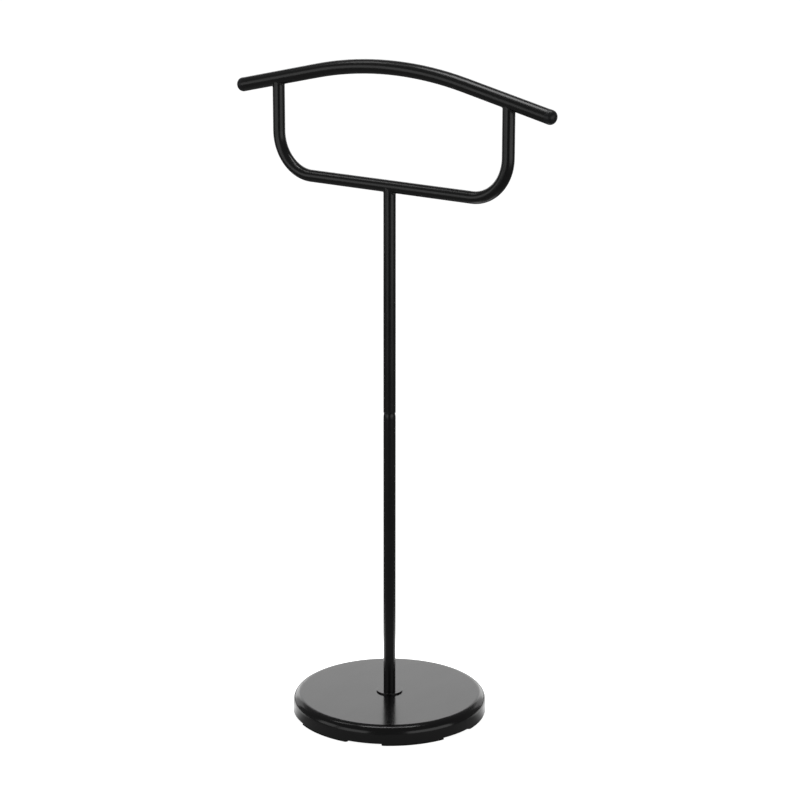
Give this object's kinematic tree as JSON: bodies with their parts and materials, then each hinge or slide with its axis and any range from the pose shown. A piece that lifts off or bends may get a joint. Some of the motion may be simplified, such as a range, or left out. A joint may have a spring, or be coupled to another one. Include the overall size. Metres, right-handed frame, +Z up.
{
  "type": "valet stand",
  "caption": "Free-standing valet stand: round weighted base, straight pole in two screwed sections, U-shaped yoke for trousers and an arched shoulder bar with sloping arms.",
  "frame": {"origin": "on the floor under the pole's axis, at the middle of the box's bottom face", "axes": "+Z up along the pole, X along the shoulder bar, Y across it; the front is -Y"},
  "size_m": [0.6324, 0.323, 1.0866],
  "materials": {
    "tube_coating": "satin black powder coat on steel tube",
    "base_lacquer": "glossy black lacquer on pressed steel",
    "moulded_black": "moulded black plastic, fine grain",
    "pad_rubber": "black rubber",
    "zinc_steel": "bright zinc plate",
    "cement": "cast grey cement"
  },
  "bodies": {
    "base": {"rubber_pad_1": "pad_rubber", "rubber_pad_2": "pad_rubber", "rubber_pad_3": "pad_rubber", "rubber_pad_4": "pad_rubber", "rubber_pad_5": "pad_rubber", "rubber_pad_6": "pad_rubber", "base_cover": "base_lacquer", "top_stiffener": "zinc_steel", "ballast": "cement", "bottom_plate": "zinc_steel", "well_cap": "moulded_black", "pole_rosette": "base_lacquer", "base_bolt": "zinc_steel", "base_bolt_washer": "zinc_steel", "base_bolt_lock_washer": "zinc_steel", "pole_foot_insert": "zinc_steel", "lower_pole": "tube_coating", "lower_joint_insert": "zinc_steel"},
    "ring": {"joint_ring": "moulded_black"},
    "hanger": {"joint_stud": "zinc_steel", "upper_joint_insert": "zinc_steel", "upper_pole": "tube_coating", "yoke_tube": "tube_coating", "shoulder_bar": "tube_coating", "end_cap_left": "moulded_black", "end_cap_right": "moulded_black", "weld_pole": "tube_coating", "weld_leg_left": "tube_coating", "weld_leg_right": "tube_coating"}
  },
  "joints": [
    {"name": "pole_rise", "type": "slide", "parent": "base", "child": "ring", "axis": [0, 0, 1], "range_m": [0, 0.012]},
    {"name": "pole_turn", "type": "hinge", "parent": "ring", "child": "hanger", "pos_m": [0, 0, 0.5154], "axis": [0, 0, 1], "range_deg": [0, 2880]}
  ],
  "couplings": [
    {"joint": "pole_rise", "follows": "pole_turn", "m_per_rad": 0.00023873}
  ]
}
